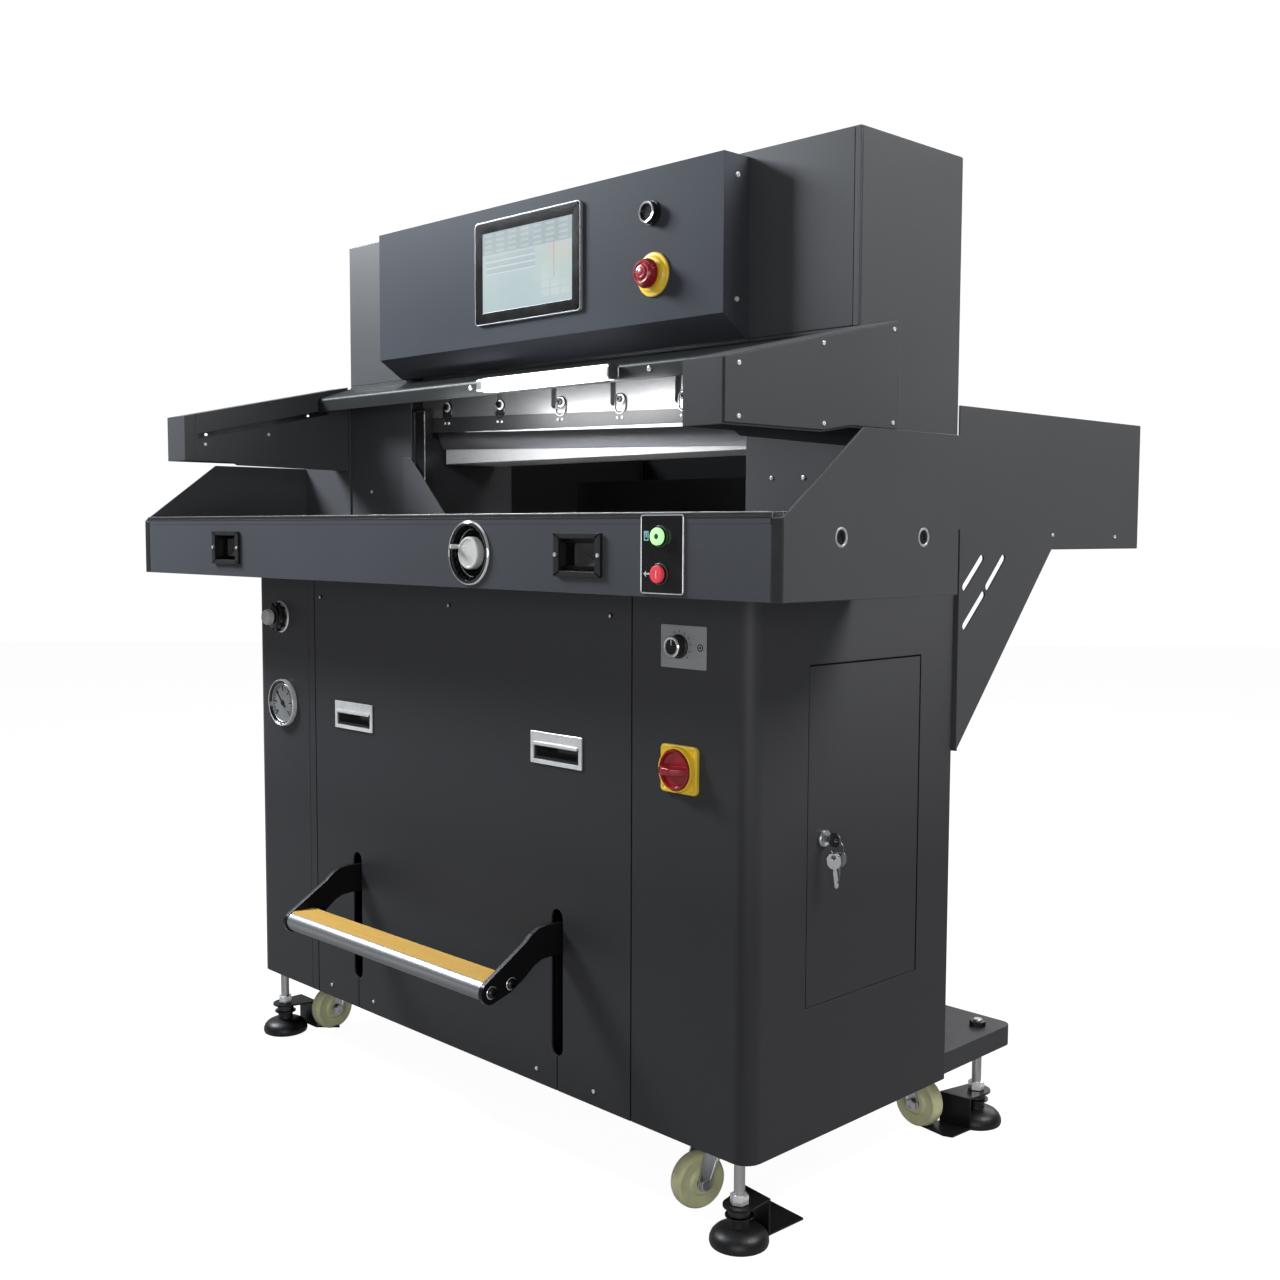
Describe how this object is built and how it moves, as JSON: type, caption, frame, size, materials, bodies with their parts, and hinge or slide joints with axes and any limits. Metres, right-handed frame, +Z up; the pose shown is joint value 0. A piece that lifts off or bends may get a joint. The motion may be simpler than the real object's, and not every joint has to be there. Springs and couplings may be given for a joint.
{
  "type": "programmable paper cutter",
  "caption": "Free-standing guillotine paper cutter with powered knife, clamp, back gauge, light-curtain arms, touchscreen head, pedal, casters and levelling feet.",
  "frame": {"origin": "centre of the bounding box on the floor, under the levelling pads", "axes": "+X to the operator's right along the knife, +Y from the operator to the back, +Z up"},
  "size_m": [1.434, 1.086, 1.381],
  "materials": {
    "charcoal_paint": "satin powder coat",
    "dark_paint": "satin",
    "cast_iron": "painted casting",
    "bright_steel": "brushed",
    "chrome": "polished",
    "rubber": "moulded",
    "nylon": "moulded",
    "black_plastic": "moulded",
    "grey_plastic": "moulded",
    "yellow_plastic": "moulded",
    "red_plastic": "moulded",
    "green_plastic": "moulded, lit",
    "lamp_cover": "translucent, lit",
    "screen": "black bezel round a lit pane",
    "stick_plastic": "plain"
  },
  "bodies": {
    "machine": {"base_frame": "dark_paint", "left_cover": "charcoal_paint", "right_cover": "charcoal_paint", "front_panel": "charcoal_paint", "rear_panel": "charcoal_paint", "panel_handle_left": "chrome", "panel_handle_right": "chrome", "front_apron": "charcoal_paint", "work_table": "bright_steel", "cutting_stick": "stick_plastic", "side_guard_left": "charcoal_paint", "side_guard_right": "charcoal_paint", "curtain_arm_left": "charcoal_paint", "curtain_arm_right": "charcoal_paint", "top_canopy": "charcoal_paint", "work_lamp": "lamp_cover", "head_cover": "charcoal_paint", "control_box": "charcoal_paint", "touchscreen": "screen", "main_frame": "cast_iron", "knife_cylinder": "dark_paint", "rear_guard": "charcoal_paint", "rear_bracket_left": "charcoal_paint", "rear_bracket_right": "charcoal_paint", "hydraulic_unit": "dark_paint", "pressure_gauge": "chrome", "isolator_plate": "yellow_plastic", "estop_collar": "yellow_plastic"},
    "clamp": {"clamp_beam": "bright_steel"},
    "hanger": {"knife_hanger": "cast_iron"},
    "knife": {"knife_bar": "bright_steel", "knife_blade": "chrome"},
    "gauge": {"back_gauge": "dark_paint"},
    "gauge_screw": {"leadscrew": "bright_steel"},
    "crank_wheel": {"handwheel": "grey_plastic"},
    "estop": {"estop_button": "red_plastic"},
    "head_push": {"head_button": "black_plastic"},
    "start_push": {"start_button": "green_plastic"},
    "stop_push": {"stop_button": "red_plastic"},
    "left_pad": {"cut_pad_left": "black_plastic"},
    "right_pad": {"cut_pad_right": "black_plastic"},
    "isolator": {"isolator_knob": "red_plastic"},
    "dial": {"dial_knob": "black_plastic"},
    "regulator": {"regulator_knob": "black_plastic"},
    "door": {"side_door": "charcoal_paint"},
    "lock": {"door_lock": "chrome"},
    "pedal": {"pedal_frame": "dark_paint", "pedal_bar": "bright_steel"},
    "fork_front_left": {"caster_fork_front_left": "bright_steel"},
    "fork_front_right": {"caster_fork_front_right": "bright_steel"},
    "fork_rear_left": {"caster_fork_rear_left": "bright_steel"},
    "fork_rear_right": {"caster_fork_rear_right": "bright_steel"},
    "wheel_front_left": {"caster_wheel_front_left": "nylon"},
    "wheel_front_right": {"caster_wheel_front_right": "nylon"},
    "wheel_rear_left": {"caster_wheel_rear_left": "nylon"},
    "wheel_rear_right": {"caster_wheel_rear_right": "nylon"},
    "pad_front_left": {"foot_front_left": "rubber"},
    "pad_front_right": {"foot_front_right": "rubber"},
    "pad_rear_left": {"foot_rear_left": "rubber"},
    "pad_rear_right": {"foot_rear_right": "rubber"}
  },
  "joints": [
    {"name": "clamp_slide", "type": "slide", "parent": "machine", "child": "clamp", "axis": [0, 0, -1], "range_m": [0, 0.085]},
    {"name": "knife_drop", "type": "slide", "parent": "machine", "child": "hanger", "axis": [0.0552, 0, -0.9985], "range_m": [0, 0.1087]},
    {"name": "knife_tilt", "type": "hinge", "parent": "hanger", "child": "knife", "pos_m": [0, -0.1656, 1.165], "axis": [0, 1, 0], "range_deg": [-1.65, 0]},
    {"name": "gauge_slide", "type": "slide", "parent": "machine", "child": "gauge", "axis": [0, 1, 0], "range_m": [-0.279, 0.159]},
    {"name": "screw_spin", "type": "hinge", "parent": "machine", "child": "gauge_screw", "pos_m": [0, 0.28, 0.87], "axis": [0, 1, 0], "range_deg": [-5040, 2880]},
    {"name": "handwheel_spin", "type": "hinge", "parent": "machine", "child": "crank_wheel", "pos_m": [0.193, -0.523, 0.85], "axis": [0, -1, 0], "continuous": true},
    {"name": "estop_press", "type": "slide", "parent": "machine", "child": "estop", "axis": [0, 1, 0], "range_m": [0, 0.004], "stiffness_N_per_m": 1500},
    {"name": "head_button_press", "type": "slide", "parent": "machine", "child": "head_push", "axis": [0, 1, 0], "range_m": [0, 0.003], "stiffness_N_per_m": 800},
    {"name": "start_press", "type": "slide", "parent": "machine", "child": "start_push", "axis": [0, 1, 0], "range_m": [0, 0.003], "stiffness_N_per_m": 800},
    {"name": "stop_press", "type": "slide", "parent": "machine", "child": "stop_push", "axis": [0, 1, 0], "range_m": [0, 0.003], "stiffness_N_per_m": 800},
    {"name": "left_pad_press", "type": "slide", "parent": "machine", "child": "left_pad", "axis": [0, 1, 0], "range_m": [0, 0.005], "stiffness_N_per_m": 800},
    {"name": "right_pad_press", "type": "slide", "parent": "machine", "child": "right_pad", "axis": [0, 1, 0], "range_m": [0, 0.005], "stiffness_N_per_m": 800},
    {"name": "isolator_turn", "type": "hinge", "parent": "machine", "child": "isolator", "pos_m": [0.452, -0.397, 0.586], "axis": [0, -1, 0], "range_deg": [0, 90]},
    {"name": "dial_turn", "type": "hinge", "parent": "machine", "child": "dial", "pos_m": [0.449, -0.397, 0.738], "axis": [0, -1, 0], "range_deg": [0, 270]},
    {"name": "regulator_turn", "type": "hinge", "parent": "machine", "child": "regulator", "pos_m": [-0.486, -0.397, 0.733], "axis": [0, -1, 0], "range_deg": [0, 1080]},
    {"name": "door_swing", "type": "hinge", "parent": "machine", "child": "door", "pos_m": [0.5665, -0.0544, 0.5], "axis": [0, 0, 1], "range_deg": [0, 110]},
    {"name": "lock_turn", "type": "hinge", "parent": "door", "child": "lock", "pos_m": [0.566, -0.259, 0.497], "axis": [1, 0, 0], "range_deg": [0, 90]},
    {"name": "pedal_press", "type": "hinge", "parent": "machine", "child": "pedal", "pos_m": [0, -0.067, 0.325], "axis": [1, 0, 0], "range_deg": [0, 15], "stiffness_Nm_per_rad": 40, "springref_deg": -57.3},
    {"name": "swivel_front_left", "type": "hinge", "parent": "machine", "child": "fork_front_left", "pos_m": [-0.49, -0.274, 0.1], "axis": [0, 0, 1], "continuous": true},
    {"name": "swivel_front_right", "type": "hinge", "parent": "machine", "child": "fork_front_right", "pos_m": [0.437, -0.309, 0.1], "axis": [0, 0, 1], "continuous": true},
    {"name": "swivel_rear_left", "type": "hinge", "parent": "machine", "child": "fork_rear_left", "pos_m": [-0.45, 0.089, 0.1], "axis": [0, 0, 1], "continuous": true},
    {"name": "swivel_rear_right", "type": "hinge", "parent": "machine", "child": "fork_rear_right", "pos_m": [0.45, 0.089, 0.1], "axis": [0, 0, 1], "continuous": true},
    {"name": "roll_front_left", "type": "hinge", "parent": "fork_front_left", "child": "wheel_front_left", "pos_m": [-0.49, -0.304, 0.0375], "axis": [1, 0, 0], "continuous": true},
    {"name": "roll_front_right", "type": "hinge", "parent": "fork_front_right", "child": "wheel_front_right", "pos_m": [0.42923, -0.33798, 0.0375], "axis": [0.9659, -0.2588, 0], "continuous": true},
    {"name": "roll_rear_left", "type": "hinge", "parent": "fork_rear_left", "child": "wheel_rear_left", "pos_m": [-0.48, 0.089, 0.0375], "axis": [0, 1, 0], "continuous": true},
    {"name": "roll_rear_right", "type": "hinge", "parent": "fork_rear_right", "child": "wheel_rear_right", "pos_m": [0.48, 0.089, 0.0375], "axis": [0, 1, 0], "continuous": true},
    {"name": "level_front_left", "type": "hinge", "parent": "machine", "child": "pad_front_left", "pos_m": [-0.532, -0.372, 0.1], "axis": [0, 0, 1], "continuous": true},
    {"name": "level_front_right", "type": "hinge", "parent": "machine", "child": "pad_front_right", "pos_m": [0.532, -0.372, 0.1], "axis": [0, 0, 1], "continuous": true},
    {"name": "level_rear_left", "type": "hinge", "parent": "machine", "child": "pad_rear_left", "pos_m": [-0.532, 0.16, 0.1], "axis": [0, 0, 1], "continuous": true},
    {"name": "level_rear_right", "type": "hinge", "parent": "machine", "child": "pad_rear_right", "pos_m": [0.532, 0.16, 0.1], "axis": [0, 0, 1], "continuous": true}
  ],
  "couplings": [
    {"joint": "knife_tilt", "follows": "knife_drop", "rad_per_m": -0.2633},
    {"joint": "screw_spin", "follows": "gauge_slide", "rad_per_m": 314.16}
  ]
}
